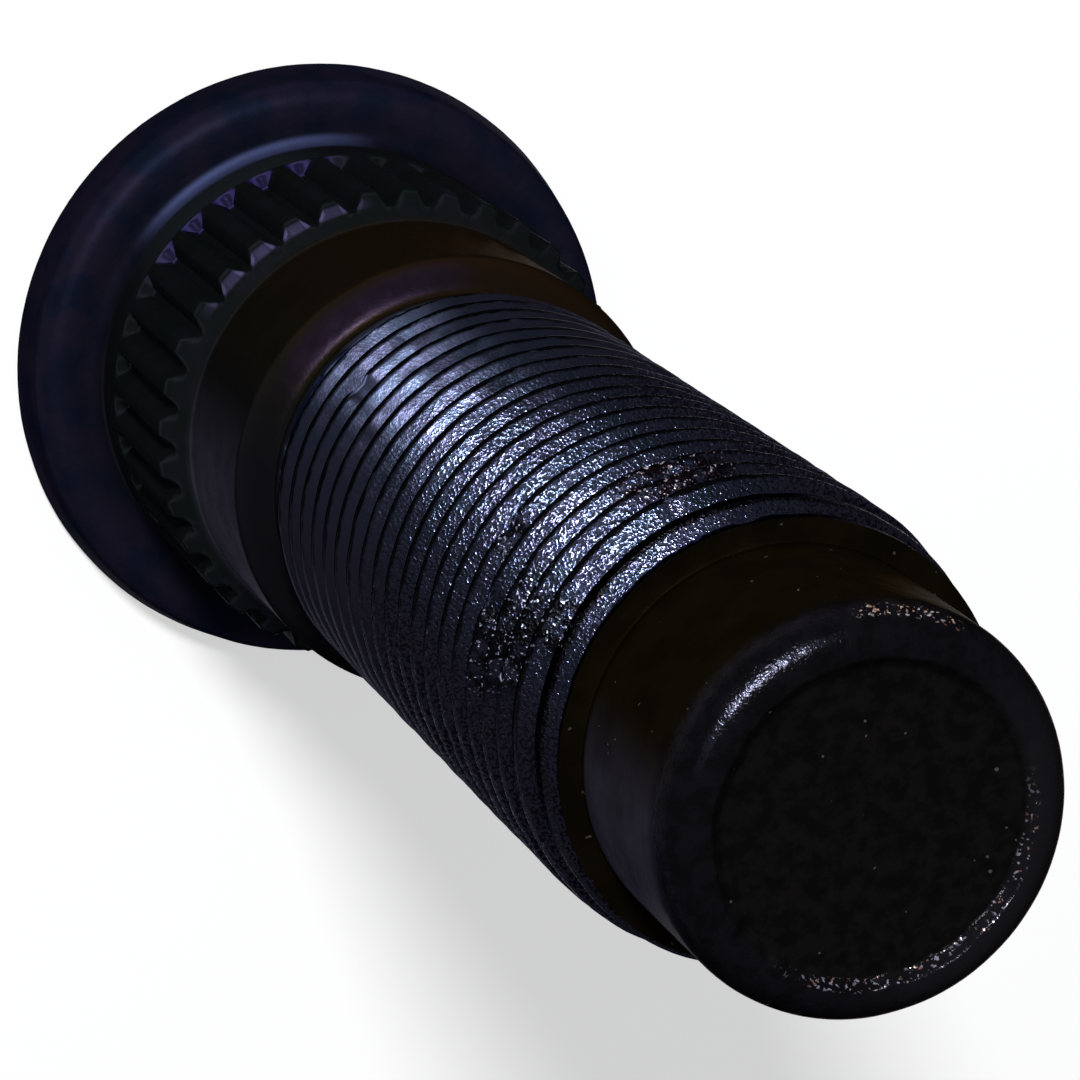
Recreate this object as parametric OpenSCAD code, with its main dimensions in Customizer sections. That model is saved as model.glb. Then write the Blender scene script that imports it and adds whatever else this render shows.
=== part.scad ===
// Wheel stud, pressed into a hub flange from behind, with the wheel nut run on from the tip.
// It is forged and rolled from one bar: a round head, a serrated press-fit length, a plain
// shoulder, a rolled thread and a smooth dog point that guides the nut on.
// It stands on its head: Z = 0 is the outer face of the head, and +Z runs along the axis to the tip.

/* [Head] */
// Diameter of the round head
head_d = 19.4; // [18.4:0.1:24]
// Thickness of the head
head_t = 2.5; // [2:0.1:6]
// How far the head's side leans in, from its widest ring to its edge at the shank
head_taper = 0.25; // [0:0.05:0.6]
// Rounding of the head's edge on the side of the shank
head_edge_r = 0.75; // [0.2:0.05:1]
// Chamfer round the outer face of the head
head_chamfer = 0.3; // [0.1:0.05:0.5]

/* [Serrations] */
// Diameter over the crests of the serrations, and of the collar that they run out on
serration_d = 14.8; // [14.4:0.1:16.2]
// Number of serrations round the shank
serration_count = 36; // [24:1:40]
// Depth of the grooves between the serrations
serration_depth = 0.45; // [0.25:0.05:0.5]
// Width of a groove at the crests
serration_gap = 0.85; // [0.5:0.05:0.9]
// Width of a groove at its floor
serration_floor = 0.2; // [0.1:0.05:0.4]
// Length of the serrated part, with its run-out and its chamfer
serration_len = 7.1; // [4:0.1:12]
// Length over which the grooves run out towards the head
serration_runout = 0.5; // [0.4:0.1:2]
// Length of the chamfer that leads the serrations into the hub
serration_lead = 0.7; // [0.3:0.05:1.2]
// Length of the plain collar between the serrations and the head
collar_len = 1.7; // [1.3:0.1:4]
// Fillet where the collar meets the head
collar_fillet = 0.5; // [0.2:0.05:1.2]

/* [Shoulder] */
// Diameter of the plain shoulder
shoulder_d = 13.1; // [12.6:0.1:13.7]
// Length of the shoulder, with its chamfer
shoulder_len = 6.4; // [3:0.1:20]
// Chamfer at the thread side of the shoulder
shoulder_chamfer = 0.8; // [0.3:0.05:1]

/* [Thread] */
// Major diameter of the thread
thread_d = 12; // [11.6:0.1:12.4]
// Pitch of the right-hand thread
thread_pitch = 1.25; // [1:0.05:1.75]
// Length of the thread, with its run-out and its tapered start
thread_len = 26.2; // [12:0.1:32]
// Length of the plain relief between the shoulder and the thread
relief_len = 0.6; // [0.3:0.1:2]
// Length over which the first turns taper up from the dog point
thread_lead = 2.6; // [1:0.1:4]
// Diameter of the thread where it starts at the dog point
thread_start_d = 11.1; // [10.5:0.1:11.3]
// Flat steps that make one turn of the thread
thread_steps = 40; // [24:4:40]

/* [Dog point] */
// Diameter of the dog point
dog_d = 9.95; // [9:0.05:10.2]
// Length of the dog point
dog_len = 5.85; // [2:0.05:12]
// Rounding of the dog point's rim
dog_edge_r = 1; // [0.2:0.05:1.2]
// Diameter of the shallow recess in the end of the dog point
recess_d = 7.7; // [5:0.1:8.4]
// Width of the sloping wall round that recess
recess_wall = 0.45; // [0.1:0.05:1]
// Depth of that recess
recess_depth = 0.25; // [0.1:0.05:0.6]

/* [Hidden] */
$fn = 96;

// Heights where one length of the stud ends and the next begins
face_z = head_t;
collar_z = face_z + collar_len;
serration_z = collar_z + serration_len;
shoulder_z = serration_z + shoulder_len;
thread_z = shoulder_z + relief_len;
dog_z = thread_z + thread_len;
tip_z = dog_z + dog_len;

// Radii
serration_r = serration_d / 2;
groove_r = serration_r - serration_depth;
shoulder_r = shoulder_d / 2;
dog_r = dog_d / 2;

// Thread form: flanks at 60 degrees to each other, a flat crest of an eighth of the pitch
crest_r = thread_d / 2;
flank_slope = tan(30);
crest_half = thread_pitch / 16;
// Depth of the form, the standard share of the pitch for a bolt
depth_share = 0.6134;
flank_h = depth_share * thread_pitch;
root_r = crest_r - flank_h;
blank_r = crest_r - flank_h / 2;
// Least height left to a ridge where the lead cone would take it away
least_ridge = 0.02;

// How far one solid reaches into the next so that they fuse
bury = 0.5;
// How far a serration's flank is drawn past its foot and its crest, as a share of its length
flank_reach = 0.1;

// Radius of the thread's blank at a height: a cone over the first turns at the tip end,
// and the plain relief at the shoulder end
lead_slope = (crest_r - thread_start_d / 2) / thread_lead;
function crest_at(z) = min(crest_r, thread_start_d / 2 + max(0, dog_z - z) * lead_slope);

// Share of the full thread form at a height, from 0 in the relief to 1 a turn further on
function form_at(z) = min(1, max(0, (z - thread_z) / thread_pitch));

// A radius of the full thread form, drawn back towards the blank where the thread runs out
function run_out(r, z) = blank_r + (r - blank_r) * form_at(z);

// The four corners of one thread ridge, as [radius, height], for a ridge centred at height z
function ridge(z) =
    let (
        top = crest_at(z),
        low = min(root_r, top - least_ridge),
        half = crest_half + (crest_r - top) * flank_slope,
        foot = crest_half + (crest_r - low) * flank_slope
    ) [
        [run_out(low, z - foot), z - foot],
        [run_out(top, z - half), z - half],
        [run_out(top, z + half), z + half],
        [run_out(low, z + foot), z + foot]
    ];

// The two triangles of a four-sided face
function two_faces(a, b, c, d) = [[a, b, c], [a, c, d]];

// Threaded rod: one ridge swept up a right-hand helix, closed by a fan of faces at each end.
// Its lower end is buried in the shoulder and its upper end is cut flat at the dog point.
module threaded_rod() {
    corners = 4;
    start_z = shoulder_z - thread_pitch - bury;
    turns = ceil((dog_z + bury - start_z) / thread_pitch) + 1;
    last = turns * thread_steps;
    ring = [for (k = [0:last]) ridge(start_z + thread_pitch * k / thread_steps)];
    swept = [
        for (k = [0:last])
            for (p = ring[k])
                [p[0] * cos(360 * k / thread_steps), p[0] * sin(360 * k / thread_steps), p[1]]
    ];
    foot_point = len(swept);
    head_point = foot_point + 1;
    points = concat(swept, [
        [0, 0, start_z - thread_pitch],
        [0, 0, start_z + turns * thread_pitch + thread_pitch]
    ]);
    top = corners - 1;
    // The faces along the ridge, then those that close the root to the next turn up
    along = [
        for (k = [0:last - 1])
            for (c = [0:top - 1])
                let (a = k * corners + c, b = a + corners)
                    each two_faces(a, a + 1, b + 1, b)
    ];
    between = [
        for (k = [0:last - thread_steps - 1])
            let (a = k * corners + top, b = (k + thread_steps) * corners)
                each two_faces(a, b, b + corners, a + corners)
    ];
    lower = [for (k = [0:thread_steps - 1]) [foot_point, k * corners, (k + 1) * corners]];
    upper = [
        for (k = [last - thread_steps:last - 1])
            [head_point, (k + 1) * corners + top, k * corners + top]
    ];
    // The cut across the ridge where each fan meets it
    lower_step = concat(
        [[foot_point, thread_steps * corners, top]],
        [for (c = [top:-1:1]) [foot_point, c, c - 1]]
    );
    upper_step = concat(
        [[head_point, (last - thread_steps) * corners + top, last * corners]],
        [for (c = [0:top - 1]) [head_point, last * corners + c, last * corners + c + 1]]
    );
    polyhedron(points, concat(along, between, lower, upper, lower_step, upper_step), convexity = 10);
}

// The thread, cut flat where the dog point starts
module thread() {
    intersection() {
        threaded_rod();
        cylinder(h = dog_z, r = thread_d);
    }
}

// Half section of the head, rounded towards the shank and chamfered round its outer face.
// Its side runs straight from its widest ring to where it touches the rounded edge.
module head_section() {
    widest = [head_d / 2, head_chamfer];
    centre = [widest[0] - head_taper - head_edge_r, face_z - head_edge_r];
    away = widest - centre;
    touch = atan2(away[1], away[0]) + acos(head_edge_r / norm(away));
    polygon([
        [0, 0],
        [widest[0] - head_chamfer, 0],
        widest,
        centre + head_edge_r * [cos(touch), sin(touch)],
        centre,
        [centre[0], face_z],
        [0, face_z]
    ]);
    translate(centre) circle(head_edge_r);
}

// Half section of the fillet between the collar and the head
module fillet_section() {
    translate([serration_r, face_z]) {
        difference() {
            translate([-bury, -bury]) square(collar_fillet + bury);
            translate([collar_fillet, collar_fillet]) circle(collar_fillet);
        }
    }
}

// Half section of the shank up to the relief, with the cone that the serrations run out on
module shank_section() {
    polygon([
        [0, face_z - bury],
        [serration_r, face_z - bury],
        [serration_r, collar_z],
        [groove_r, collar_z + serration_runout],
        [groove_r, serration_z - serration_lead],
        [shoulder_r, serration_z],
        [shoulder_r, shoulder_z - shoulder_chamfer],
        [shoulder_r - shoulder_chamfer, shoulder_z],
        [0, shoulder_z]
    ]);
}

// Half section of the dog point, with a rounded rim and a shallow recess in its end
module dog_section() {
    difference() {
        union() {
            translate([0, dog_z - bury]) square([dog_r, dog_len + bury - dog_edge_r]);
            translate([0, dog_z - bury]) square([dog_r - dog_edge_r, dog_len + bury]);
            translate([dog_r - dog_edge_r, tip_z - dog_edge_r]) circle(dog_edge_r);
        }
        polygon([
            [-bury, tip_z - recess_depth],
            [recess_d / 2 - recess_wall, tip_z - recess_depth],
            [recess_d / 2 + recess_wall, tip_z + recess_depth],
            [-bury, tip_z + recess_depth]
        ]);
    }
}

// A point turned about the axis
function turned(p, angle) =
    [p[0] * cos(angle) - p[1] * sin(angle), p[0] * sin(angle) + p[1] * cos(angle)];

// Outline across the serrations: a ring of straight-sided teeth, left a little too tall
module teeth_outline() {
    step = 360 / serration_count;
    foot = [groove_r, serration_floor / 2];
    crest = [serration_r, serration_gap / 2];
    // One flank, carried on past its foot and its crest, and the top of the tooth half a step on
    past = flank_reach * (crest - foot);
    low = foot - past;
    high = crest + past;
    top = turned([serration_r + bury, 0], step / 2);
    polygon([
        for (i = [0:serration_count - 1])
            for (p = [low, high, top, turned([high[0], -high[1]], step), turned([low[0], -low[1]], step)])
                turned(p, i * step)
    ]);
}

// The serrations, turned down to their crests and chamfered at the end that enters the hub first
module serrations() {
    intersection() {
        translate([0, 0, collar_z - bury]) linear_extrude(serration_len + bury) teeth_outline();
        union() {
            cylinder(h = serration_z - serration_lead, r = serration_r);
            translate([0, 0, serration_z - serration_lead])
                cylinder(h = serration_lead, r1 = serration_r, r2 = shoulder_r);
        }
    }
}

module wheel_stud() {
    color("#1c1b20") {
        rotate_extrude() {
            head_section();
            fillet_section();
            shank_section();
        }
        serrations();
        thread();
        rotate_extrude() dog_section();
    }
}

wheel_stud();
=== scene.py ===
"""Looks of the wheel stud: one finely modelled stud with a worn phosphate coat, lamp, floor and camera."""
import math

import bpy
import numpy as np
from mathutils import Matrix, Vector, noise


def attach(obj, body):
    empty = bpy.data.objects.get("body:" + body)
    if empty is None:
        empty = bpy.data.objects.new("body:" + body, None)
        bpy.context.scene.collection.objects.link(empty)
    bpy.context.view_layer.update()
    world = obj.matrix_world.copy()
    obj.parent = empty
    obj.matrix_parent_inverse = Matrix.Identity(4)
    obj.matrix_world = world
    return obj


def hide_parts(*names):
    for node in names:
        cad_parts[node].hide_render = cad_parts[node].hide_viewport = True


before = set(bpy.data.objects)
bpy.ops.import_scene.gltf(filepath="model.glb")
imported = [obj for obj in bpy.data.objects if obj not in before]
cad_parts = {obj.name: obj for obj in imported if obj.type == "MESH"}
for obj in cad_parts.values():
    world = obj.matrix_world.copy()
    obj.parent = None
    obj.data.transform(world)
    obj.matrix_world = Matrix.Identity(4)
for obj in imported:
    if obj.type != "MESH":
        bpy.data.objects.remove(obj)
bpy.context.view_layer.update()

# One millimetre, in the metres of the frame
MM = 0.001

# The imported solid's sizes in millimetres. A name that ends in Z is a height above the head's outer face
HEAD_R = 9.7
HEAD_T = 2.5
HEAD_TAPER = 0.25
HEAD_EDGE = 0.75
HEAD_CHAMFER = 0.3
COLLAR_Z = 4.2
COLLAR_FILLET = 0.5
TEETH = 36
CREST_R = 7.4
GROOVE_R = 6.95
GROOVE_GAP = 0.85
GROOVE_FLOOR = 0.2
RUNOUT_LEN = 0.5
LEAD_LEN = 0.7
SERRATION_Z = 11.3
SHOULDER_R = 6.55
SHOULDER_Z = 17.7
SHOULDER_CHAMFER = 0.8
THREAD_Z = 18.3
THREAD_R = 6.0
PITCH = 1.25
THREAD_DEPTH = 0.6134 * PITCH
THREAD_LEAD = 2.6
START_R = 5.55
DOG_Z = 44.5
DOG_R = 4.975
DOG_EDGE = 1.0
TIP_Z = 50.35
RECESS_DEPTH = 0.25

# Radii of the thread's roots and of the plain blank that it is rolled on
ROOT_R = THREAD_R - THREAD_DEPTH
BLANK_R = THREAD_R - THREAD_DEPTH / 2
# How fast the first turns at the tip taper, and the slope of the thread's flanks
LEAD_SLOPE = (THREAD_R - START_R) / THREAD_LEAD
FLANK = math.tan(math.radians(30))
# Height of the ridge's middle where the helix crosses the +X side
HELIX_Z = SHOULDER_Z - PITCH - 0.5

# Where the camera stands round the stud, as an angle from +X
CAMERA_TURN = 307.4

# Columns of vertices round the stud: seven to a serration, at its groove's floor and at its crest's corners
STEP = 360 / TEETH
FLOOR_HALF = math.degrees(GROOVE_FLOOR / 2 / GROOVE_R)
GAP_HALF = math.degrees(GROOVE_GAP / 2 / CREST_R)
# Half the width of a crest's worn corner, in degrees
CORNER = 0.25
IN_STEP = [0, FLOOR_HALF, GAP_HALF - CORNER, GAP_HALF + CORNER,
           STEP - GAP_HALF - CORNER, STEP - GAP_HALF + CORNER, STEP - FLOOR_HALF]
ANGLES = np.array([k * STEP + a for k in range(TEETH) for a in IN_STEP])
COLUMNS = len(ANGLES)
COS = np.cos(np.radians(ANGLES))
SIN = np.sin(np.radians(ANGLES))

# The stud's mesh, in millimetres
verts = []
faces = []


def seen(theta):
    """The angle from +X of a place given as an angle from the camera's side."""
    return (CAMERA_TURN - theta) % 360


def apart(a, b):
    """Signed angles from b to a, in degrees."""
    return (np.asarray(a) - b + 180) % 360 - 180


def rough(x, y, z, size):
    """Smooth noise between about -1 and 1, whose lumps have this size."""
    return noise.noise(Vector((x / size, y / size, z / size)))


def add_ring(r, z):
    """One ring of vertices. r and z are single numbers or one number a column."""
    base = len(verts)
    r = np.broadcast_to(np.asarray(r, float), COLUMNS)
    z = np.broadcast_to(np.asarray(z, float), COLUMNS)
    verts.extend(zip(r * COS, r * SIN, z))
    return list(range(base, base + COLUMNS))


def join(a, b):
    """A band of faces from ring a up to ring b, which face outwards."""
    for i in range(COLUMNS):
        k = (i + 1) % COLUMNS
        faces.append((a[i], a[k], b[k], b[i]))


def loft(points):
    """Rings through a list of (r, z), joined one to the next. Returns the first ring and the last."""
    rings = [add_ring(r, z) for r, z in points]
    for a, b in zip(rings, rings[1:]):
        join(a, b)
    return rings[0], rings[-1]


def cap(ring, z, up):
    """A fan from one middle point to a ring, which faces up or down."""
    middle = len(verts)
    verts.append((0, 0, z))
    for i in range(COLUMNS):
        k = (i + 1) % COLUMNS
        faces.append((middle, ring[i], ring[k]) if up else (middle, ring[k], ring[i]))


def arc(centre_r, centre_z, radius, first, last, parts):
    """Points on a round edge about a centre, from the first angle to the last."""
    return [(centre_r + radius * math.cos(math.radians(a)), centre_z + radius * math.sin(math.radians(a)))
            for a in np.linspace(first, last, parts + 1)]


def head_profile():
    """Half section of the head, its fillet and the collar, from the outer face to the serrations."""
    centre = (HEAD_R - HEAD_TAPER - HEAD_EDGE, HEAD_T - HEAD_EDGE)
    away = (HEAD_R - centre[0], HEAD_CHAMFER - centre[1])
    touch = math.degrees(math.atan2(away[1], away[0]) + math.acos(HEAD_EDGE / math.hypot(*away)))
    face_r = HEAD_R - HEAD_CHAMFER
    points = [(r, 0) for r in (2.5, 6.0, 8.6, face_r - 0.1)]
    points += [(face_r + 0.02, 0.03), (HEAD_R - 0.03, HEAD_CHAMFER - 0.03), (HEAD_R, HEAD_CHAMFER + 0.1)]
    points += arc(*centre, HEAD_EDGE, touch, 90, 7)
    points += [(r, HEAD_T) for r in (8.4, 8.1)]
    points += arc(CREST_R + COLLAR_FILLET, HEAD_T + COLLAR_FILLET, COLLAR_FILLET, 270, 180, 5)
    points += [(CREST_R, z) for z in (3.3, 3.8, COLLAR_Z - 0.08)]
    return points


# How a groove ends at the collar, steep and rounded: (share of the run-out, share of the depth)
RUNOUT = np.array([(0, 0), (0.12, 0.02), (0.26, 0.09), (0.36, 0.22),
                   (0.64, 0.78), (0.76, 0.92), (0.9, 0.98), (1, 1)])
# Heights of the rings above the run-out, closer together on the lead chamfer
SERRATION_RINGS = (4.9, 5.3, 6.2, 7.2, 8.4, 9.6, 10.45, 10.6, 10.7, 10.82, 10.97, 11.12, 11.25, 11.32)
# The crests' corners are a little worn, down to this share of the groove's depth
WORN_CORNER = 0.985


def serrations(last):
    """Rings up the serrations, joined on to the ring below them. Returns the last ring."""
    depth = CREST_R - GROOVE_R
    off_groove = ANGLES % STEP
    off_groove = np.minimum(off_groove, STEP - off_groove)
    rise = np.clip((off_groove - FLOOR_HALF) / (GAP_HALF - FLOOR_HALF), 0, 1)
    tooth_r = GROOVE_R + depth * np.where(rise > 0.99, WORN_CORNER, rise)
    for z in (COLLAR_Z - 0.04, *(COLLAR_Z + RUNOUT_LEN * RUNOUT[:, 0]), *SERRATION_RINGS):
        grown = np.clip((z - COLLAR_Z) / RUNOUT_LEN, 0, 1)
        cone = CREST_R - depth * np.interp(grown, RUNOUT[:, 0], RUNOUT[:, 1])
        lead = CREST_R - (CREST_R - SHOULDER_R) * (z - SERRATION_Z + LEAD_LEN) / LEAD_LEN
        r = np.minimum(np.maximum(tooth_r, cone), lead)
        ring = add_ring(np.maximum(r, SHOULDER_R), z)
        join(last, ring)
        last = ring
    return last


def shoulder_profile():
    """Half section of the shoulder, its chamfer and the relief up to the thread."""
    chamfer_z = SHOULDER_Z - SHOULDER_CHAMFER
    points = [(SHOULDER_R, z) for z in (11.6, 12.5, 13.6, 14.7, 15.8, 16.6, chamfer_z - 0.1)]
    points += [(SHOULDER_R - d, chamfer_z + d) for d in (0.06, 0.4)]
    # The chamfer's small end is rounded over on to the relief
    points += [(SHOULDER_R - inwards, SHOULDER_Z - below)
               for inwards, below in ((0.6, 0.2), (0.7, 0.115), (0.8, 0.05), (0.88, 0.012))]
    points += [(BLANK_R + 0.01, SHOULDER_Z + 0.03), (BLANK_R, SHOULDER_Z + 0.2), (BLANK_R, THREAD_Z)]
    return points


def ridge_rows(middle):
    """Rows across one ridge whose middle is at these heights, from root to root.

    Each row is its heights, its radii and its shares of the thread's depth."""
    top = np.minimum(THREAD_R, START_R + np.maximum(0, DOG_Z - middle) * LEAD_SLOPE)
    half = PITCH / 16 + (THREAD_R - top) * FLANK
    foot = PITCH / 16 + (THREAD_R - ROOT_R) * FLANK
    # Up one flank, as (distance from the ridge's middle, share of the depth), with its corners rounded
    flank = [(foot + 0.02, 0.02), (foot - 0.055, 0.16), (half + 0.13 * (foot - half), 0.86),
             (half - 0.004, 0.985), (half * 0.45, 1.0)]
    across = [(-PITCH / 2, 0.0)]
    across += [(-off, share) for off, share in flank]
    across += reversed(flank)
    return [(middle + off, ROOT_R + (top - ROOT_R) * share, share + 0 * middle) for off, share in across]


# Depths of the knocks are measured down from here
KNOCK_TOP = 50.0
# Knocks on the crests: (angle from the camera's side, depth below KNOCK_TOP, width, height, dent's depth)
KNOCKS = [
    (-1.7, 12.8, 0.26, 0.3, 0.34), (-18.1, 11.3, 0.3, 0.4, 0.3), (-22.1, 9.8, 0.34, 0.34, 0.28),
    (-14.6, 8.5, 0.28, 0.34, 0.26), (-26.5, 8.9, 0.3, 0.3, 0.2), (-20.5, 7.4, 0.25, 0.25, 0.16),
    (36.5, 10.2, 0.4, 0.4, 0.3), (29.9, 8.7, 0.3, 0.3, 0.2), (28.1, 7.9, 0.2, 0.25, 0.15),
    (39.7, 6.2, 0.35, 0.35, 0.2), (12.1, 14.9, 0.14, 0.3, 0.2), (-0.8, 7.6, 0.16, 0.2, 0.14),
    (2.6, 27.8, 0.3, 0.35, 0.28), (-7.5, 25.0, 0.22, 0.3, 0.2), (16, 22.4, 0.2, 0.25, 0.18),
    (7, 19.9, 0.16, 0.25, 0.16), (-12, 17.2, 0.2, 0.25, 0.14), (22, 18.6, 0.16, 0.25, 0.14),
    (-4, 15.9, 0.18, 0.22, 0.14), (118, 14.0, 0.4, 0.4, 0.25), (160, 25.0, 0.5, 0.4, 0.28),
    (-140, 18.0, 0.4, 0.4, 0.22), (-95, 28.0, 0.4, 0.4, 0.2), (75, 22.0, 0.3, 0.3, 0.18),
    (-60, 14.5, 0.3, 0.4, 0.16),
]
# The share of the depth from which a row counts as part of the crest
CREST_SHARE = 0.8


def knocks(height, share, turn):
    """How far each place of the thread is knocked in, most at the crest and nothing at the root."""
    sunk = np.zeros_like(height)
    for theta, below, wide, tall, deep in KNOCKS:
        sideways = apart(turn, seen(theta)) * math.pi / 180 * THREAD_R / wide
        upwards = (height - (KNOCK_TOP - below)) / tall
        sunk = np.maximum(sunk, deep * np.exp(-(sideways ** 2 + upwards ** 2) * 1.2))
    return sunk * np.clip(share, 0, 1)


def thread_strip():
    """The thread as a strip that winds up the helix: heights and radii, one row a column it passes."""
    first_turn = -1
    last_turn = math.ceil((DOG_Z - HELIX_Z) / PITCH) + 2
    passed = np.arange((last_turn - first_turn) * COLUMNS)
    unwound = ANGLES[passed % COLUMNS] + 360 * (passed // COLUMNS + first_turn)
    rows = ridge_rows(HELIX_Z + PITCH * unwound / 360)
    height, radius, share = (np.stack([row[k] for row in rows], 1) for k in range(3))
    # The ridge runs out towards the relief over one turn
    grown = np.clip((height - THREAD_Z) / PITCH, 0, 1)
    radius = BLANK_R + (radius - BLANK_R) * grown
    turn = np.broadcast_to(ANGLES[passed % COLUMNS][:, None], radius.shape)
    radius = radius - knocks(height, share, turn)
    # The crests were rolled a little unevenly
    for j, k in zip(*np.nonzero(share > CREST_SHARE)):
        if THREAD_Z < height[j, k] < DOG_Z:
            x = radius[j, k] * COS[j % COLUMNS]
            y = radius[j, k] * SIN[j % COLUMNS]
            radius[j, k] -= max(0, 0.03 * rough(x, y, height[j, k], 0.9) + 0.008)
            height[j, k] += 0.02 * rough(x, y, height[j, k] + 30, 0.7)
    return height, radius


def strip_face(*corners):
    """One face of the strip. Corners that have run together at its ends count once."""
    single = list(dict.fromkeys(int(v) for v in corners))
    if len(single) > 2:
        faces.append(tuple(single))


def thread(foot):
    """The thread's mesh, from the ring below it to a ring at the dog point, which it returns."""
    height, radius = thread_strip()
    top_r = np.empty(COLUMNS)
    for m in range(COLUMNS):
        z = height[m::COLUMNS].ravel()
        order = np.argsort(z, kind="stable")
        top_r[m] = np.interp(DOG_Z, z[order], radius[m::COLUMNS].ravel()[order])
    top = add_ring(top_r, DOG_Z)
    # What reaches below the thread or above it falls on the ring at that end
    passes, across = height.shape
    index = np.empty((passes, across), int)
    for j in range(passes):
        m = j % COLUMNS
        for k in range(across):
            z = height[j, k]
            if z <= THREAD_Z + 0.01:
                index[j, k] = foot[m]
            elif z >= DOG_Z - 0.005:
                index[j, k] = top[m]
            else:
                index[j, k] = len(verts)
                verts.append((radius[j, k] * COS[m], radius[j, k] * SIN[m], z))
    for j in range(passes - 1):
        for k in range(across - 1):
            strip_face(index[j, k], index[j + 1, k], index[j + 1, k + 1], index[j, k + 1])
        # The root between one turn and the next
        up = j + COLUMNS
        if up + 1 < passes:
            strip_face(index[j, -1], index[j + 1, -1], index[up + 1, 0], index[up, 0])
    return top


def dog_profile():
    """Half section of the dog point, its rounded rim and the recess. The recess sits a little off centre,
    so that the lip is wider on the camera's side, and its edge wanders."""
    lean = np.cos(np.radians(apart(CAMERA_TURN, ANGLES) - 10))
    lip_r = 3.96 - 0.12 * lean
    floor_r = lip_r - 0.34 - 0.06 * lean
    rim_r = lip_r + 0.04
    rim_drop = DOG_EDGE + 0.12 * lean
    wander = np.array([0.09 * rough(3 * c, 3 * s, 4.0, 1.3) + 0.05 * rough(5 * c, 5 * s, 9.0, 0.55)
                       for c, s in zip(COS, SIN)])
    lip_r = lip_r + wander
    floor_r = floor_r + 1.4 * wander
    floor_z = TIP_Z - RECESS_DEPTH
    points = [(DOG_R + 0.1, DOG_Z), (DOG_R + 0.02, DOG_Z + 0.03), (DOG_R, DOG_Z + 0.12)]
    points += [(DOG_R, z) for z in (45.2, 46.0, 46.8, 47.6, 48.3, 48.9)]
    points += [(rim_r + (DOG_R - rim_r) * math.cos(t), TIP_Z - rim_drop * (1 - math.sin(t)))
               for t in np.radians(np.linspace(0, 90, 13))]
    # The recess's wall, as (share of its width, share of its depth)
    wall = ((0, 0), (0.12, 0.02), (0.3, 0.3), (0.5, 0.55), (0.7, 0.78), (0.88, 0.96), (1, 1))
    points += [(lip_r + (floor_r - lip_r) * share, TIP_Z - RECESS_DEPTH * depth) for share, depth in wall]
    points += [(r, floor_z) for r in (3.3, 2.8, 2.2, 1.5, 0.8)]
    return points, floor_z


# Chips on the rim of the dog point: (angle from the camera's side, radius, width, depth)
CHIPS = [(48, 4.85, 0.22, 0.1), (55, 4.8, 0.26, 0.14), (63, 4.85, 0.3, 0.14), (70, 4.72, 0.22, 0.1),
         (75, 4.3, 0.16, 0.1), (78, 4.15, 0.14, 0.08), (101, 4.15, 0.2, 0.08), (117, 4.1, 0.2, 0.08),
         (136, 4.0, 0.18, 0.08), (152, 3.95, 0.15, 0.08), (169, 4.0, 0.2, 0.07), (-168, 3.95, 0.2, 0.08),
         (-156, 3.8, 0.24, 0.1), (-146, 3.9, 0.2, 0.1), (-133, 4.0, 0.24, 0.1), (-120, 3.95, 0.24, 0.1),
         (-104, 3.95, 0.26, 0.12), (-93, 3.9, 0.2, 0.14), (-80, 3.86, 0.34, 0.16), (-72, 4.2, 0.2, 0.06),
         (24, 4.5, 0.15, 0.04), (11, 4.55, 0.12, 0.04), (2, 4.5, 0.12, 0.04), (36, 4.6, 0.15, 0.05),
         (-114, 4.8, 0.14, 0.06), (-106, 4.85, 0.16, 0.07)]
# How far below the tip a chip can reach
CHIP_REACH = 0.7
# The forged skin is pressed in by noise times one of these, on the shank and on the head
SHANK_SKIN = 0.012
HEAD_SKIN = 0.02
# The noise is raised by this first, so that a little more than half of the skin is pressed in
SKIN_RAISE = 0.1


def weathered(points):
    """The vertices with the uneven forged skin pressed in and the rim's chips taken out."""
    spots = np.array(points)
    radius = np.hypot(spots[:, 0], spots[:, 1])
    inwards = np.zeros(len(spots))
    down = np.zeros(len(spots))
    for i, (x, y, z) in enumerate(spots):
        if DOG_Z + 0.05 < z < TIP_Z - 0.1:
            inwards[i] = SHANK_SKIN * max(0, rough(x, y, z, 1.1) + SKIN_RAISE)
        elif SERRATION_Z + 0.2 < z < SHOULDER_Z:
            inwards[i] = SHANK_SKIN * max(0, rough(x, y, z, 1.4) + SKIN_RAISE)
        elif z < COLLAR_Z + 0.1 and radius[i] > GROOVE_R + 0.05:
            inwards[i] = HEAD_SKIN * max(0, rough(x, y, z, 1.8) + SKIN_RAISE)
            if z > HEAD_T - 0.5:
                down[i] = HEAD_SKIN * max(0, rough(x, y, z + 9, 1.6))
    at_tip = spots[:, 2] > TIP_Z - CHIP_REACH
    for theta, r, wide, deep in CHIPS:
        a = math.radians(seen(theta))
        away = np.hypot(spots[:, 0] - r * math.cos(a), spots[:, 1] - r * math.sin(a)) / wide
        down[at_tip] += (deep * np.exp(-away ** 2 * 2))[at_tip]
    shrink = 1 - inwards / np.maximum(radius, 1e-6)
    return np.stack([spots[:, 0] * shrink, spots[:, 1] * shrink, spots[:, 2] - down], 1)


def add_object(name, data):
    """A new object in the scene."""
    thing = bpy.data.objects.new(name, data)
    bpy.context.scene.collection.objects.link(thing)
    return thing


# Edges where the faces turn by more than this many degrees are shaded sharp
SHARP_TURN = 48


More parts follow.
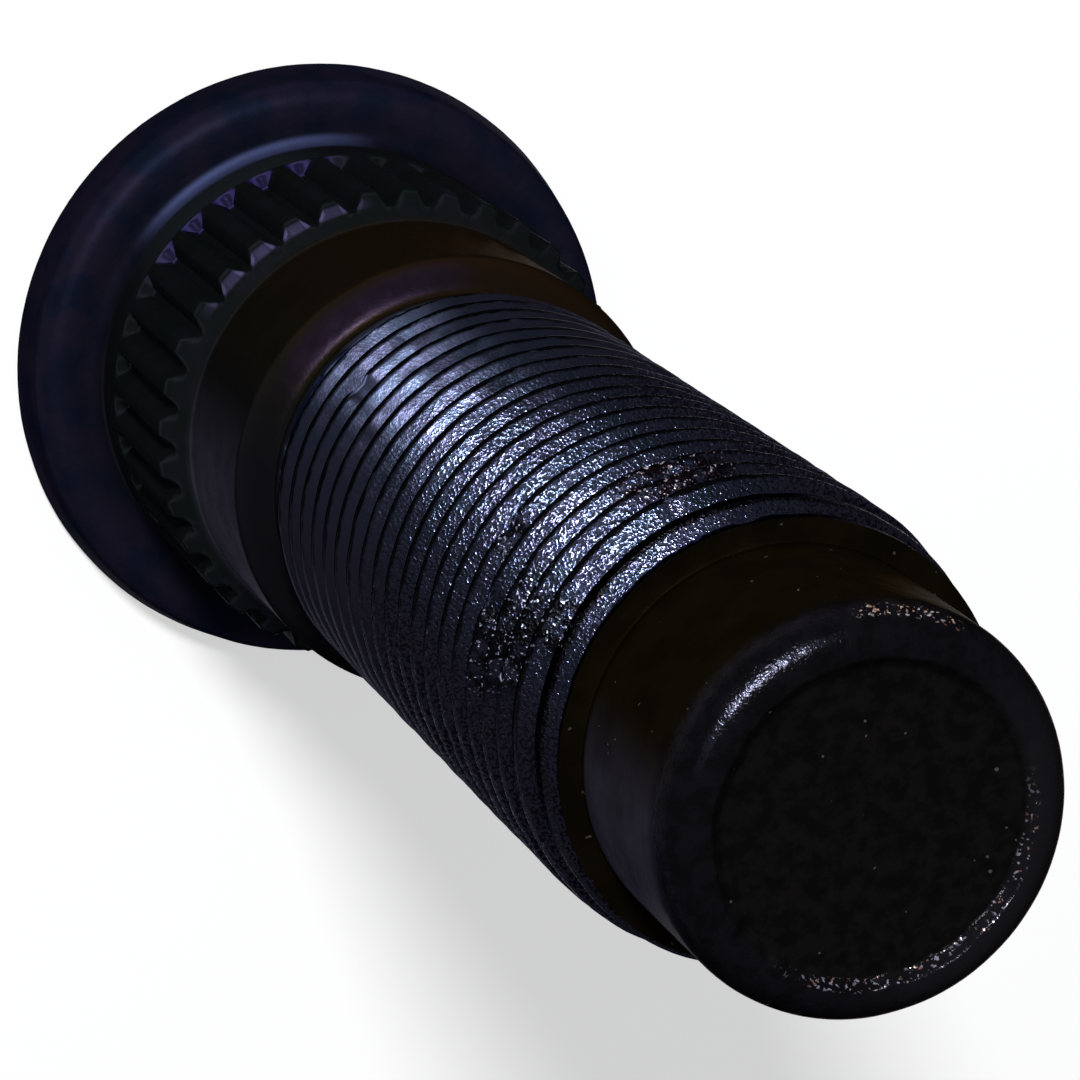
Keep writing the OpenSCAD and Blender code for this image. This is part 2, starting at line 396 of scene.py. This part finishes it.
def add_stud():
    """The whole stud as one closed mesh."""
    outer_face, collar = loft(head_profile())
    cap(outer_face, 0, False)
    serrated = serrations(collar)
    shoulder, relief = loft(shoulder_profile())
    join(serrated, shoulder)
    thread_end = thread(relief)
    points, floor_z = dog_profile()
    dog_foot, recess = loft(points)
    join(thread_end, dog_foot)
    cap(recess, floor_z, True)
    mesh = bpy.data.meshes.new("stud")
    mesh.from_pydata((weathered(verts) * MM).tolist(), [], faces)
    mesh.validate()
    mesh.update()
    mesh.shade_smooth()
    mesh.set_sharp_from_angle(angle=math.radians(SHARP_TURN))
    print("stud faces", len(mesh.polygons), "triangles", sum(len(p.vertices) - 2 for p in mesh.polygons))
    return add_object("stud", mesh)


class NodeMaterial:
    """Short ways to build one node material. An input can be a number, a colour or a node's output."""

    def __init__(self, name):
        self.material = bpy.data.materials.new(name)
        self.material.use_nodes = True
        self.nodes = self.material.node_tree.nodes
        self.links = self.material.node_tree.links
        self.shader = self.nodes["Principled BSDF"].inputs

    def feed(self, socket, value):
        """Put a number, a colour or a node's output into an input."""
        if isinstance(value, (int, float)):
            socket.default_value = value
        elif isinstance(value, tuple):
            socket.default_value = (*value, 1)
        else:
            self.links.new(value, socket)

    def calculate(self, operation, *values):
        """One value worked out from others. Past the second, they are taken in one after another."""
        node = self.nodes.new("ShaderNodeMath")
        node.operation = operation
        for socket, value in zip(node.inputs, values[:2]):
            self.feed(socket, value)
        result = node.outputs[0]
        return self.calculate(operation, result, *values[2:]) if values[2:] else result

    def times(self, *values):
        """All the values multiplied: where they are shares, the share where all of them hold."""
        return self.calculate("MULTIPLY", *values)

    def either(self, *values):
        """The highest of the values: where they are shares, the share where any of them holds."""
        return self.calculate("MAXIMUM", *values)

    def ramp(self, value, lo, hi, to_lo=0.0, to_hi=1.0):
        """A smooth step from to_lo, below lo, to to_hi, above hi."""
        node = self.nodes.new("ShaderNodeMapRange")
        node.interpolation_type = "SMOOTHSTEP"
        self.links.new(value, node.inputs["Value"])
        for socket, number in zip(("From Min", "From Max", "To Min", "To Max"), (lo, hi, to_lo, to_hi)):
            node.inputs[socket].default_value = number
        return node.outputs["Result"]

    def fall(self, value, lo, hi):
        """A smooth step from 1, below lo, to 0, above hi."""
        return self.ramp(value, lo, hi, 1.0, 0.0)

    def band(self, value, lo, full_from, full_to, hi):
        """1 between full_from and full_to, falling to 0 at lo and at hi."""
        return self.times(self.ramp(value, lo, full_from), self.fall(value, full_to, hi))

    def mix_of(self, kind, sockets, share, a, b):
        """A Mix node: a where the share is 0 and b where it is 1. sockets are the numbers of the inputs
        for a and b, and of the output, that a node of this kind uses."""
        node = self.nodes.new("ShaderNodeMix")
        node.data_type = kind
        first, second, result = sockets
        self.feed(node.inputs[0], share)
        self.feed(node.inputs[first], a)
        self.feed(node.inputs[second], b)
        return node.outputs[result]

    def mix(self, share, a, b):
        """Colour a where the share is 0 and colour b where it is 1."""
        return self.mix_of("RGBA", (6, 7, 2), share, a, b)

    def blend(self, share, a, b):
        """Number a where the share is 0 and number b where it is 1."""
        return self.mix_of("FLOAT", (2, 3, 0), share, a, b)

    def scaled(self, vector, factor):
        """A vector or a colour times a number."""
        node = self.nodes.new("ShaderNodeVectorMath")
        node.operation = "SCALE"
        self.links.new(vector, node.inputs[0])
        self.feed(node.inputs["Scale"], factor)
        return node.outputs[0]

    def vector_value(self, operation, vector, point=None):
        """One number from a vector and, where the operation takes it, a fixed point."""
        node = self.nodes.new("ShaderNodeVectorMath")
        node.operation = operation
        self.links.new(vector, node.inputs[0])
        if point:
            node.inputs[1].default_value = point
        return node.outputs["Value"]

    def combined(self, **parts):
        """A vector from the axes given."""
        node = self.nodes.new("ShaderNodeCombineXYZ")
        for axis, value in parts.items():
            self.links.new(value, node.inputs[axis])
        return node.outputs[0]

    def noise_at(self, place, scale, detail, roughness=0.5):
        """Noise between 0 and 1, with this many lumps a unit of the place."""
        node = self.nodes.new("ShaderNodeTexNoise")
        node.inputs["Scale"].default_value = scale
        node.inputs["Detail"].default_value = detail
        node.inputs["Roughness"].default_value = roughness
        self.links.new(place, node.inputs["Vector"])
        return node.outputs["Fac"]

    def bump(self, height, strength, distance, below=None):
        """A bumped normal, on top of another one where it is given."""
        node = self.nodes.new("ShaderNodeBump")
        node.inputs["Distance"].default_value = distance
        self.links.new(height, node.inputs["Height"])
        self.links.new(strength, node.inputs["Strength"])
        if below:
            self.links.new(below, node.inputs["Normal"])
        return node.outputs[0]


# Dirt on the thread: (angle from the camera's side, height, how far it spreads), all at one radius
DIRT = [(-19, 40.4, 2.3), (36, 40.0, 2.1), (-1.7, 37.2, 0.9), (-29, 38.9, 1.7), (-12, 42.6, 1.2)]
DIRT_R = 5.9


class Coat(NodeMaterial):
    """Black phosphate with a film of oil: crystals that sparkle on the thread's flanks, brown and duller on
    the dog point and the shoulder, blue-black on the head. Dark at a slant, with a sheen only at the edge.
    Highlights, sheens and shade are also painted into its colour at fixed places, most on one side.

    Each attribute is a place or a measure in millimetres, a noise from 0 to 1, or the share of a zone or
    a mark. Every zone and mark is fixed on the stud, whichever way it is looked at."""

    def __init__(self, name):
        super().__init__(name)
        coord = self.nodes.new("ShaderNodeTexCoord")
        self.place = self.scaled(coord.outputs["Object"], 1 / MM)
        split = self.nodes.new("ShaderNodeSeparateXYZ")
        self.links.new(self.place, split.inputs[0])
        self.x, self.y, self.height = split.outputs
        self.flat = self.combined(X=self.x, Y=self.y)
        self.radius = self.vector_value("LENGTH", self.flat)
        self.grain = self.speck(11.5, 1.5, 0.6, (0, 0, 0))
        self.cloud = self.speck(0.7, 3.0, 0.55, (11, 2, 5))
        self.hue = self.speck(1.3, 2.0, 0.5, (3, 13, 8))
        self.blotch = self.speck(2.2, 3.0, 0.6, (1, 9, 4))
        self.dots = self.speck(10.0, 1.0, 0.5, (7, 7, 1))
        self.specks = self.speck(5.5, 0.0, 0.5, (2, 4, 9))
        self.sparks = self.speck(9.0, 1.5, 0.6, (5, 1, 3))
        self.find_zones()
        self.find_crests()
        self.find_dirt()
        self.find_marks()
        self.find_chips()

    def speck(self, scale, detail, roughness, offset):
        """Noise over the stud, moved by an offset so that no two fall together."""
        node = self.nodes.new("ShaderNodeMapping")
        node.inputs["Location"].default_value = offset
        self.links.new(self.place, node.inputs["Vector"])
        return self.noise_at(node.outputs[0], scale, detail, roughness)

    def facing(self, theta, lo, hi):
        """1 on the side of the stud at this angle from the camera's side, falling to 0 round it. lo and hi
        are the cosines of how far round the fall ends and starts."""
        a = math.radians(seen(theta))
        along = self.vector_value("DOT_PRODUCT", self.flat, (math.cos(a), math.sin(a), 0))
        return self.ramp(self.calculate("DIVIDE", along, self.radius), lo, hi)

    def near(self, theta, r, z, size):
        """1 at one spot of the stud, falling to 0 at this distance."""
        a = math.radians(seen(theta))
        gap = self.vector_value("DISTANCE", self.place, (r * math.cos(a), r * math.sin(a), z))
        return self.fall(gap, 0.0, size)

    def find_zones(self):
        """The stretches of the stud, which fade into each other, and the side where a highlight is painted,
        brighter at a fixed place on the stud."""
        self.on_head = self.fall(self.height, HEAD_T + 0.2, HEAD_T + 0.5)
        self.on_teeth = self.band(self.height, HEAD_T + 0.2, HEAD_T + 0.5,
                                  SERRATION_Z - 0.2, SERRATION_Z + 0.2)
        self.in_thread = self.band(self.height, SHOULDER_Z + 0.2, SHOULDER_Z + 0.8,
                                   DOG_Z - 0.08, DOG_Z - 0.02)
        # The plain lengths change colour where the thread hides it
        self.on_dog = self.ramp(self.height, 30.0, 31.0)
        self.on_rim = self.times(self.ramp(self.height, TIP_Z - 1.25, TIP_Z - 0.55),
                                 self.ramp(self.radius, 3.6, 3.8))
        self.on_end = self.fall(self.radius, 3.74, 3.94)
        self.near_tip = self.ramp(self.height, 24.0, 36.0)
        # A highlight is painted on the thread here: a wide side and a brighter core
        self.highlight_side = self.facing(12, 0.25, 0.85)
        self.highlight_core = self.facing(15.5, 0.90, 0.995)
        self.crystal = self.ramp(self.grain, 0.45, 0.54)

    def find_crests(self):
        """The thread's crests, with ragged edges, and a noise that holds all across each flank."""
        lead_r = self.calculate("ADD", self.times(self.height, -LEAD_SLOPE), START_R + DOG_Z * LEAD_SLOPE)
        past = self.calculate("SUBTRACT", self.radius, self.calculate("MINIMUM", lead_r, THREAD_R))
        past = self.calculate("ADD", past, self.times(self.blotch, 0.14))
        self.crest = self.times(self.ramp(past, -0.01, 0.03), self.in_thread)
        winding = self.calculate("DIVIDE", self.calculate("ARCTAN2", self.y, self.x), 2 * math.pi)
        turns_up = self.calculate("DIVIDE", self.calculate("SUBTRACT", self.height, HELIX_Z), PITCH)
        turns_past = self.calculate("FRACT", self.calculate("SUBTRACT", turns_up, winding))
        above_ridge = self.times(turns_past, PITCH)
        ridge_z = self.times(self.calculate("SUBTRACT", self.height, above_ridge), 1.7)
        self.flank = self.noise_at(self.combined(X=self.x, Y=self.y, Z=ridge_z), 0.8, 1.0)

    def find_dirt(self):
        """Dirt that fills dents on the thread, with bright grains round it."""
        dirt = self.either(*(self.near(theta, DIRT_R, z, size) for theta, z, size in DIRT))
        self.dirt_dark = self.times(self.ramp(dirt, 0.0, 0.4), self.ramp(self.blotch, 0.40, 0.51))
        self.dirt_grain = self.times(self.ramp(dirt, 0.0, 0.5), self.ramp(self.sparks, 0.62, 0.68))

    def find_marks(self):
        """Painted highlights on edges and ends on one side, painted shade on the step where the thread ends,
        and a painted sheen along the plain lengths on another side.
        """
        z, r = self.height, self.radius
        # Painted highlight on the shoulder's chamfer
        self.chamfer = self.times(self.band(z, 16.9, 17.35, 17.6, 17.7), self.facing(20, 0.80, 0.98))
        # A painted sheen along the straight lengths on one side
        straight = self.either(self.ramp(z, 44.55, 44.75), self.fall(z, 16.6, 16.9))
        self.pale = self.times(self.facing(-76, 0.52, 0.98),
                               self.ramp(self.cloud, 0.25, 0.7, 0.65, 1.0), straight)
        # The step where the thread ends, where shade is painted
        self.thread_end = self.band(z, 44.4, 44.48, 44.56, 44.75)
        # Painted highlight on the fillet
        self.fillet = self.times(self.band(r, 7.40, 7.46, 7.60, 7.86), self.facing(28, 0.82, 0.985))
        # Painted highlight on the collar
        self.collar = self.times(self.fall(z, 4.15, 4.3), self.facing(17, 0.84, 0.97))
        # Painted glints at the ends of the grooves and on the lead's crests
        self.groove_ends = self.times(self.band(z, 4.2, 4.25, 4.7, 4.8), self.fall(r, 7.36, 7.39),
                                      self.facing(19, 0.85, 0.95))
        leads = self.times(self.band(z, 10.68, 10.76, 11.15, 11.3), self.ramp(r, 6.95, 7.05),
                           self.facing(17, 0.89, 0.98))
        self.glints = self.either(self.groove_ends, leads)

    def find_chips(self):
        """The painted highlight on the rim, specks where the recess's far edge is chipped, which are partly
        bare steel and partly painted glints, and nicks on the rim.
        """
        z, r = self.height, self.radius
        # Painted highlight, a streak along the rim
        self.sheen = self.times(self.band(r, 4.31, 4.40, 4.45, 4.54), self.facing(9, 0.84, 0.96),
                                self.ramp(self.dots, 0.36, 0.52, 0.3, 1.0))
        # Partly bare steel and partly painted glints, where the far lip catches the light
        self.chips = self.times(self.band(r, 3.78, 3.86, 4.00, 4.10), self.facing(-165, 0.3, 0.75),
                                self.ramp(z, TIP_Z - 0.6, TIP_Z - 0.4),
                                self.ramp(self.blotch, 0.40, 0.50), self.ramp(self.dots, 0.575, 0.635))
        self.nicks = self.times(self.band(r, 4.66, 4.72, 4.84, 4.9), self.facing(60, 0.955, 0.975),
                                self.ramp(z, TIP_Z - 1.05, TIP_Z - 0.75), self.ramp(self.dots, 0.58, 0.66))
        self.grit = self.ramp(self.specks, 0.835, 0.85)


# Colours of the coat, linear. A pair is the darker and the lighter colour of one finish
BLACK = (0.0, 0.0, 0.0)
OILY_BROWN = (0.0086, 0.0064, 0.0026), (0.0125, 0.0088, 0.0038)
DRAB_BROWN = (0.0100, 0.0092, 0.0058), (0.0130, 0.0112, 0.0068)
REDDISH = (0.0160, 0.0098, 0.0058)
BLUE_BLACK = (0.0085, 0.0082, 0.0110)
# Painted highlight on the shoulder's chamfer
CHAMFER_HIGHLIGHT = (0.0270, 0.0180, 0.0340)
# Painted sheen along one side
SHEEN_GREY = (0.064, 0.060, 0.092)
DUST = (0.11, 0.085, 0.07)
STEEL_BLUE = (0.0540, 0.0690, 0.1180), (0.0630, 0.0680, 0.1230)
# Painted shade on the thread's far side
STEEL_SHADE_VIOLET = (0.0800, 0.0680, 0.1160)
DIRT_BLACK = (0.0048, 0.0042, 0.0050)
DIRT_RED = (0.0070, 0.0036, 0.0044)
GRAIN_BLUE = (0.40, 0.44, 0.60)
GRAIN_PINK = (0.52, 0.42, 0.52)
CREST_GREY = (0.0330, 0.0340, 0.0500)
# Painted shade on the crests in the highlight
CREST_SHADE_BLACK = (0.0050, 0.0048, 0.0062)
HEAD_VIOLET = (0.0070, 0.0098, 0.0225), (0.0150, 0.0122, 0.0260)
HEAD_SHADOW = (0.002, 0.003, 0.004)
# Painted highlight on the head's fillet
FILLET_HIGHLIGHT = (0.0560, 0.0700, 0.1650)
SERRATION_GREEN = (0.0105, 0.0140, 0.0145), (0.0140, 0.0155, 0.0200)
# Painted highlight on the collar
COLLAR_HIGHLIGHT = (0.0250, 0.0340, 0.0400)
# Painted glints on the lead's crests and at the ends of the grooves
LEAD_GLINT = (0.0850, 0.0780, 0.1700)
GROOVE_GLINT = (0.0380, 0.0310, 0.1050)
RIM_BLACK = (0.0064, 0.0060, 0.0080), (0.0094, 0.0086, 0.0120)
# Painted sheen on the rim's far side
FAR_RIM_SHEEN = (0.0150, 0.0144, 0.0185)
# Painted highlight on the rim
RIM_SHEEN = (0.0300, 0.0315, 0.0460)
END_BLACK = (0.0044, 0.0040, 0.0045), (0.0074, 0.0066, 0.0066)
END_DUST = (0.09, 0.07, 0.07)
# Bare steel and painted glints on the chipped far lip
CHIP_COLOURS = (0.46, 0.43, 0.58), (0.36, 0.22, 0.20)
NICK_COLOURS = (0.46, 0.43, 0.42), (0.32, 0.18, 0.12)


def plain_colour(coat):
    """The shoulder, drab brown with a redder side and a bluer side, and the dog point, oily brown, with a
    painted highlight on the chamfer, painted shade on the step where the thread ends, and a painted
    sheen along one side.
    """
    clouds = coat.ramp(coat.cloud, 0.35, 0.65)
    shoulder = coat.mix(clouds, *DRAB_BROWN)
    shoulder = coat.mix(coat.facing(62, 0.4, 0.95), shoulder, REDDISH)
    shoulder = coat.mix(coat.facing(-62, 0.45, 0.9), shoulder, BLUE_BLACK)
    # Painted highlight on the shoulder's chamfer
    shoulder = coat.mix(coat.chamfer, shoulder, CHAMFER_HIGHLIGHT)
    colour = coat.mix(coat.on_dog, shoulder, coat.mix(clouds, *OILY_BROWN))
    colour = coat.mix(coat.times(coat.on_dog, coat.grit), colour, DUST)
    # Painted shade on the step where the thread ends
    colour = coat.mix(coat.times(coat.thread_end, 0.35), colour, BLACK)
    # A painted sheen, pale grey, along one side of the shoulder and the dog point
    return coat.mix(coat.pale, colour, SHEEN_GREY)


def thread_colour(coat):
    """The thread: blue steel crystals with a painted highlight on one side and painted shade round it, under
    dark crests, painted blacker in the highlight, and patches of dirt.
    """
    steel = coat.mix(coat.ramp(coat.hue, 0.38, 0.62), *STEEL_BLUE)
    # Painted shade: the steel turns violet away from the highlight's side
    steel = coat.mix(coat.facing(12, 0.5, 0.9), STEEL_SHADE_VIOLET, steel)
    # Between the crystals it is dull, which shows only near the tip
    smooth = coat.ramp(coat.near_tip, 0.0, 0.8, 0.9, 0.0)
    steel = coat.mix(coat.either(coat.crystal, smooth), coat.mix(0.8, steel, BLACK), steel)
    # Patches in the painted highlight that hold across a flank, brighter towards both ends of the thread
    patches = coat.blend(coat.near_tip, coat.ramp(coat.flank, 0.40, 0.57, 0.7, 2.0),
                         coat.ramp(coat.flank, 0.36, 0.6, 1.0, 1.6))
    patches = coat.times(patches, coat.ramp(coat.height, 20.5, 27.0, 1.5, 0.88),
                         coat.ramp(coat.height, 33.0, 38.0, 1.0, 1.25))
    # Painted highlight and shade: brightest in the core, darker round it and darkest on the far side
    shade_off_core = coat.blend(coat.highlight_side, 0.55, 0.78)
    steel = coat.scaled(steel, coat.blend(coat.highlight_core, shade_off_core, patches))
    far_dirt = coat.facing(37, 0.9, 0.98)
    steel = coat.mix(coat.times(coat.dirt_dark, 0.92), steel, coat.mix(far_dirt, DIRT_BLACK, DIRT_RED))
    # Painted shade: the crests are black where the highlight lies and grey elsewhere
    steel = coat.mix(coat.crest, steel, coat.mix(coat.highlight_side, CREST_GREY, CREST_SHADE_BLACK))
    return coat.mix(coat.dirt_grain, steel, coat.mix(far_dirt, GRAIN_BLUE, GRAIN_PINK))


def serration_colour(coat):
    """The serrations and the collar: green-black, with a painted highlight on the collar and painted glints
    at the ends of the grooves and crests.
    """
    colour = coat.mix(coat.ramp(coat.cloud, 0.35, 0.65), *SERRATION_GREEN)
    # Painted highlight on the collar
    colour = coat.mix(coat.collar, colour, COLLAR_HIGHLIGHT)
    # Painted glints: violet on the lead's crests and bluer at the ends of the grooves
    return coat.mix(coat.glints, colour, coat.mix(coat.groove_ends, LEAD_GLINT, GROOVE_GLINT))


def head_colour(coat):
    """The head: blue-black and violet in clouds, with painted shade near the shank and a painted highlight
    on the fillet.
    """
    colour = coat.mix(coat.ramp(coat.cloud, 0.36, 0.64), *HEAD_VIOLET)
    colour = coat.mix(coat.ramp(coat.radius, 7.7, 8.7, 0.4, 0.0), colour, HEAD_SHADOW)
    # Painted highlight on the fillet
    return coat.mix(coat.fillet, colour, FILLET_HIGHLIGHT)


def rim_colour(coat):
    """The dog point's rounded rim: near black, with a painted sheen on the far side and one painted highlight
    streak.
    """
    colour = coat.mix(coat.ramp(coat.blotch, 0.4, 0.6), *RIM_BLACK)
    # Painted sheen on the far side of the rim
    colour = coat.mix(coat.facing(160, 0.1, 0.9), colour, FAR_RIM_SHEEN)
    # Painted highlight streak along the rim
    return coat.mix(coat.sheen, colour, RIM_SHEEN)


def coat_colour(coat):
    """The colour of every finish, each laid over the last, and the chips and nicks on top."""
    colour = coat.mix(coat.in_thread, plain_colour(coat), thread_colour(coat))
    colour = coat.mix(coat.on_teeth, colour, serration_colour(coat))
    colour = coat.mix(coat.on_head, colour, head_colour(coat))
    colour = coat.mix(coat.on_rim, colour, rim_colour(coat))
    colour = coat.mix(coat.on_end, colour, coat.mix(coat.ramp(coat.blotch, 0.38, 0.62), *END_BLACK))
    colour = coat.mix(coat.times(coat.on_end, coat.grit), colour, END_DUST)
    # Chipped specks: partly bare steel and partly painted glints
    colour = coat.mix(coat.chips, colour, coat.mix(coat.ramp(coat.specks, 0.5, 0.58), *CHIP_COLOURS))
    return coat.mix(coat.nicks, colour, coat.mix(coat.ramp(coat.specks, 0.45, 0.6), *NICK_COLOURS))


def coat_metallic(coat):
    """How metallic each finish is: most on the thread, on the painted highlights and glints, and on the chips
    and nicks.
    """
    metallic = coat.blend(coat.in_thread, 0.5, 0.97)
    metallic = coat.blend(coat.on_teeth, metallic, coat.blend(coat.glints, 0.6, 0.9))
    metallic = coat.blend(coat.on_rim, metallic, coat.blend(coat.either(coat.sheen, coat.nicks), 0.55, 0.9))
    metallic = coat.blend(coat.on_end, metallic, coat.blend(coat.chips, 0.3, 0.9))
    return coat.blend(coat.either(coat.times(coat.fillet, coat.on_head), coat.chamfer), metallic, 0.9)


def coat_roughness(coat):
    """How rough each finish is: the thread's crystals are the smoothest and the head is the dullest."""
    between_crystals = coat.blend(coat.near_tip, 0.23, 0.48)
    on_crystals = coat.blend(coat.near_tip, 0.20, 0.13)
    thread_part = coat.blend(coat.crystal, between_crystals, on_crystals)
    rest = coat.blend(coat.on_rim, coat.ramp(coat.blotch, 0.3, 0.7, 0.32, 0.42), 0.20)
    rest = coat.blend(coat.on_teeth, rest, 0.28)
    rest = coat.blend(coat.on_head, rest, coat.ramp(coat.radius, 7.9, 8.1, 0.64, 0.52))
    return coat.blend(coat.in_thread, rest, thread_part)


def coat_sheen(coat):
    """The tint of the sheen that shows at a slant: low, so that the sides stay dark."""
    tint = coat.mix(coat.pale, (0.22, 0.16, 0.12), (0.08, 0.08, 0.10))
    tint = coat.mix(coat.in_thread, tint, coat.mix(coat.crest, (0.05, 0.05, 0.07), (0.16, 0.16, 0.20)))
    tint = coat.mix(coat.either(coat.on_teeth, coat.on_end), tint, (0.10, 0.11, 0.12))
    return coat.mix(coat.on_head, tint, (0.20, 0.20, 0.24))


def coat_normal(coat):
    """Crystals, deepest on the thread near the tip, with shallow blotches on top."""
    depth = 0.03 * MM
    off_thread = coat.blend(coat.on_rim, 0.15, 0.5)
    crystals = coat.times(coat.blend(coat.near_tip, 0.1, 1.0), coat.blend(coat.in_thread, off_thread, 1.0))
    blotches = coat.blend(coat.in_thread, 0.6, coat.ramp(coat.near_tip, 0.0, 0.6, 0.2, 0.6))
    return coat.bump(coat.blotch, blotches, depth, below=coat.bump(coat.grain, crystals, depth))


def stud_material():
    """The stud's one material."""
    coat = Coat("phosphated_steel_worn")
    coat.feed(coat.shader["Base Color"], coat_colour(coat))
    coat.feed(coat.shader["Metallic"], coat_metallic(coat))
    coat.feed(coat.shader["Roughness"], coat_roughness(coat))
    coat.feed(coat.shader["Specular Tint"], coat_sheen(coat))
    coat.feed(coat.shader["Normal"], coat_normal(coat))
    coat.shader["Specular IOR Level"].default_value = 0.0
    return coat.material


stud = add_stud()
stud.data.materials.append(stud_material())
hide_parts("wheel_stud")
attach(stud, "root")


# How much paler than its own colour the camera sees the floor
PAPER_LIFT = 0.55


def floor_material():
    """Pale matt paper. The camera, and what mirrors it, sees it a little paler, so that it reads as white."""
    paper = NodeMaterial("floor_paper")
    paper.shader["Base Color"].default_value = (0.6, 0.6, 0.6, 1)
    paper.shader["Roughness"].default_value = 0.9
    paper.shader["Specular IOR Level"].default_value = 0.0
    paper.shader["Emission Color"].default_value = (1, 1, 1, 1)
    path = paper.nodes.new("ShaderNodeLightPath")
    seen_rays = ("Is Camera Ray", "Is Glossy Ray", "Is Transmission Ray")
    lifted = paper.either(*(path.outputs[ray] for ray in seen_rays))
    paper.feed(paper.shader["Emission Strength"], paper.times(lifted, PAPER_LIFT))
    return paper.material


# Half the floor's side, and how far it lies below the stud so that the two faces don't fight, in metres
FLOOR_HALF_SIDE = 2
FLOOR_DROP = 0.00002
floor_mesh = bpy.data.meshes.new("floor")
corners = [(x * FLOOR_HALF_SIDE, y * FLOOR_HALF_SIDE, 0) for x, y in ((-1, -1), (1, -1), (1, 1), (-1, 1))]
floor_mesh.from_pydata(corners, [], [(0, 1, 2, 3)])
floor_mesh.materials.append(floor_material())
floor = add_object("floor", floor_mesh)
floor.location = (0, 0, -FLOOR_DROP)

# Directions from the stud: to the camera's side, a quarter turn clockwise from it seen from above, and up
turn = math.radians(CAMERA_TURN)
SIDE = Vector((math.cos(turn), math.sin(turn), 0))
ACROSS = Vector((SIDE.y, -SIDE.x, 0))
UP = Vector((0, 0, 1))

# The one lamp, a soft disk that is aimed at the middle of the stud: sizes in metres
KEY_FROM = 0.527 * SIDE + 0.208 * ACROSS + 0.824 * UP
KEY_AIM = Vector((0, 0, 0.028))
KEY_DISTANCE = 0.45
KEY_SIZE = 0.07
KEY_WATTS = 1.7


def add_key():
    """The lamp that draws the highlight along the thread."""
    data = bpy.data.lights.new("key", "AREA")
    data.shape = "DISK"
    data.size = KEY_SIZE
    data.energy = KEY_WATTS
    key = add_object("key", data)
    ray = KEY_FROM.normalized()
    key.location = KEY_AIM + ray * KEY_DISTANCE
    key.rotation_euler = (-ray).to_track_quat("-Z", "Y").to_euler()


def add_world():
    """A dim, slightly cool light from all round."""
    world = bpy.data.worlds.new("studio")
    bpy.context.scene.world = world
    world.use_nodes = True
    background = world.node_tree.nodes["Background"].inputs
    background["Color"].default_value = (0.95, 0.97, 1.0, 1)
    background["Strength"].default_value = 0.15


# The camera as fitted to the photo: how far it stands from the axis, its height and its lens, in millimetres
CAMERA_OFF_AXIS = 48.253
CAMERA_Z = 140.3145
CAMERA_LENS = 151.0625
# The stud's axis down to the head, its camera side and across it, each as (right, down, forward) in the photo
AXIS_SEEN = Vector((-0.29895, -0.24426, 0.92248))
SIDE_SEEN = Vector((-0.71226, -0.58623, -0.38604))
ACROSS_SEEN = Vector((0.63508, -0.77245, 0.00127))


def to_world(seen_as):
    """A direction given as (right, down, forward) in the photo, in the stud's frame."""
    v = Vector(seen_as)
    return v.dot(AXIS_SEEN) * -UP + v.dot(SIDE_SEEN) * SIDE + v.dot(ACROSS_SEEN) * ACROSS


def add_camera():
    """The camera at the photo's viewing angle."""
    data = bpy.data.cameras.new("camera")
    data.sensor_width = 36
    data.lens = CAMERA_LENS
    data.clip_start = 0.01
    data.dof.use_dof = False
    camera = add_object("camera", data)
    axes = Matrix((to_world((1, 0, 0)), to_world((0, -1, 0)), to_world((0, 0, -1)))).transposed()
    place = (CAMERA_OFF_AXIS * SIDE + CAMERA_Z * UP) * MM
    camera.matrix_world = Matrix.Translation(place) @ axes.to_4x4()
    bpy.context.scene.camera = camera


add_key()
add_world()
add_camera()
bpy.context.scene.view_settings.view_transform = "Standard"
